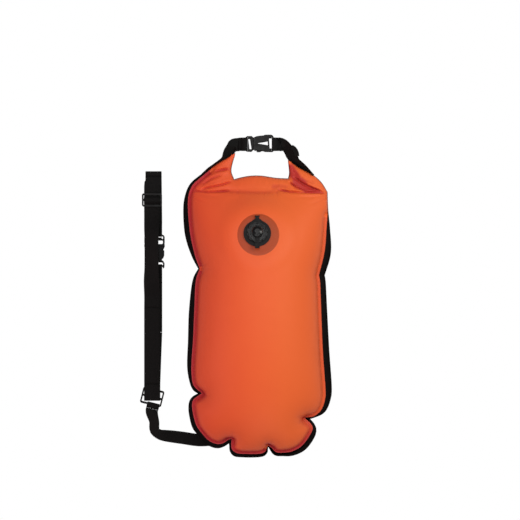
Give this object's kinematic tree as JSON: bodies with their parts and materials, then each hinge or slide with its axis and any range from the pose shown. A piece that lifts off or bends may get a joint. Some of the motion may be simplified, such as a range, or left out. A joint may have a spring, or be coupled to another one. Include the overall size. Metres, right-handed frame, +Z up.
{
  "type": "open water swim buoy",
  "caption": "Inflated open water swim buoy with a roll-top dry compartment, screw valve, buckled waist belt and webbing leash.",
  "frame": {"origin": "centre of the flat patch that the bag rests on, on the bag's centre line", "axes": "+Y along the bag towards the rolled mouth, +Z up out of the front panel, +X to the right seen from above"},
  "size_m": [0.3772, 0.6185, 0.1884],
  "materials": {
    "coated_fabric": "TPU-coated nylon, smooth satin, red-orange",
    "black_fabric": "coated nylon, satin black",
    "film": "clear welded film, smoky over the orange fabric",
    "webbing": "woven polypropylene webbing, black",
    "plastic": "moulded acetal, satin black",
    "rubber": "soft moulded rubber, black"
  },
  "bodies": {
    "bag": {"front_panel": "coated_fabric", "back_panel": "black_fabric", "divider_sheet": "black_fabric", "mouth_stiffener": "black_fabric", "anchor_patch": "black_fabric", "valve_patch": "film", "anchor_tab": "webbing", "closure_webbing_left": "webbing", "closure_webbing_fold": "webbing", "closure_webbing_right": "webbing", "belt_webbing_back": "webbing", "belt_webbing_front_upper": "webbing", "belt_webbing_front": "webbing", "belt_webbing_front_lower": "webbing", "belt_webbing_back_lower": "webbing", "belt_webbing_back_upper": "webbing", "leash_webbing": "webbing", "valve_base": "plastic", "closure_buckle_female": "plastic", "belt_buckle_male": "plastic", "valve_gasket": "rubber"},
    "closure_male": {"closure_buckle_male": "plastic", "closure_webbing_loop": "webbing"},
    "closure_prong_left": {"closure_buckle_prong_left": "plastic"},
    "closure_prong_right": {"closure_buckle_prong_right": "plastic"},
    "valve_body_carrier": {"body_retainer": "rubber"},
    "valve_body": {"valve_body": "plastic"},
    "valve_diaphragm": {"valve_diaphragm": "rubber"},
    "valve_cap_carrier": {"cap_retainer": "rubber"},
    "valve_cap": {"valve_cap": "plastic"},
    "belt_female": {"belt_buckle_female": "plastic", "belt_webbing_hairpin": "webbing"},
    "belt_prong_left": {"belt_buckle_prong_left": "plastic"},
    "belt_prong_right": {"belt_buckle_prong_right": "plastic"},
    "belt_slider": {"belt_slider": "plastic", "belt_webbing_threaded": "webbing", "belt_webbing_end": "webbing"},
    "leash_slider": {"leash_slider": "plastic", "leash_loop": "webbing", "belt_webbing_fold": "webbing"}
  },
  "joints": [
    {"name": "closure_buckle_release", "type": "slide", "parent": "bag", "child": "closure_male", "axis": [-1, 0, 0], "range_m": [0, 0.022], "deforming": ["closure_webbing_left", "closure_buckle_prong_left", "closure_buckle_prong_right"]},
    {"name": "closure_prong_left_press", "type": "hinge", "parent": "closure_male", "child": "closure_prong_left", "pos_m": [-0.00724, 0.36493, 0.0905], "axis": [0, 0, 1], "range_deg": [-7, 0], "stiffness_Nm_per_rad": 0.2},
    {"name": "closure_prong_right_press", "type": "hinge", "parent": "closure_male", "child": "closure_prong_right", "pos_m": [-0.00724, 0.35005, 0.0905], "axis": [0, 0, 1], "range_deg": [0, 7], "stiffness_Nm_per_rad": 0.2},
    {"name": "valve_body_lift", "type": "slide", "parent": "bag", "child": "valve_body_carrier", "axis": [0, 0.2588, 0.9659], "range_m": [0, 0.003]},
    {"name": "valve_body_turn", "type": "hinge", "parent": "valve_body_carrier", "child": "valve_body", "pos_m": [-0.00027, 0.18368, 0.17023], "axis": [0, 0.2588, 0.9659], "range_deg": [0, 360]},
    {"name": "valve_diaphragm_slide", "type": "slide", "parent": "valve_body", "child": "valve_diaphragm", "axis": [0, -0.2588, -0.9659], "range_m": [0, 0.0015], "stiffness_N_per_m": 60},
    {"name": "valve_cap_lift", "type": "slide", "parent": "valve_body", "child": "valve_cap_carrier", "axis": [0, 0.2588, 0.9659], "range_m": [0, 0.002]},
    {"name": "valve_cap_turn", "type": "hinge", "parent": "valve_cap_carrier", "child": "valve_cap", "pos_m": [-0.00027, 0.18368, 0.17023], "axis": [0, 0.2588, 0.9659], "range_deg": [0, 360]},
    {"name": "belt_buckle_release", "type": "slide", "parent": "bag", "child": "belt_female", "axis": [0, -1, 0], "range_m": [0, 0.025], "deforming": ["belt_webbing_back_upper", "belt_buckle_prong_left", "belt_buckle_prong_right"]},
    {"name": "belt_prong_left_press", "type": "hinge", "parent": "bag", "child": "belt_prong_left", "pos_m": [-0.19652, 0.1592, 0.0057], "axis": [0, 0, 1], "range_deg": [-7, 0], "stiffness_Nm_per_rad": 0.2},
    {"name": "belt_prong_right_press", "type": "hinge", "parent": "bag", "child": "belt_prong_right", "pos_m": [-0.21548, 0.1592, 0.0057], "axis": [0, 0, 1], "range_deg": [0, 7], "stiffness_Nm_per_rad": 0.2},
    {"name": "belt_slider_slide", "type": "slide", "parent": "bag", "child": "belt_slider", "axis": [0, 1, 0], "range_m": [-0.03, 0.01], "deforming": ["belt_webbing_end", "belt_webbing_front_upper", "belt_webbing_front"]},
    {"name": "leash_slider_slide", "type": "slide", "parent": "bag", "child": "leash_slider", "axis": [0, 1, 0], "range_m": [0, 0.02], "deforming": ["belt_webbing_front_lower", "belt_webbing_back_lower", "leash_webbing"]}
  ],
  "couplings": [
    {"joint": "valve_body_turn", "follows": "valve_body_lift", "rad_per_m": 2094.4},
    {"joint": "valve_cap_turn", "follows": "valve_cap_lift", "rad_per_m": 3141.6}
  ]
}
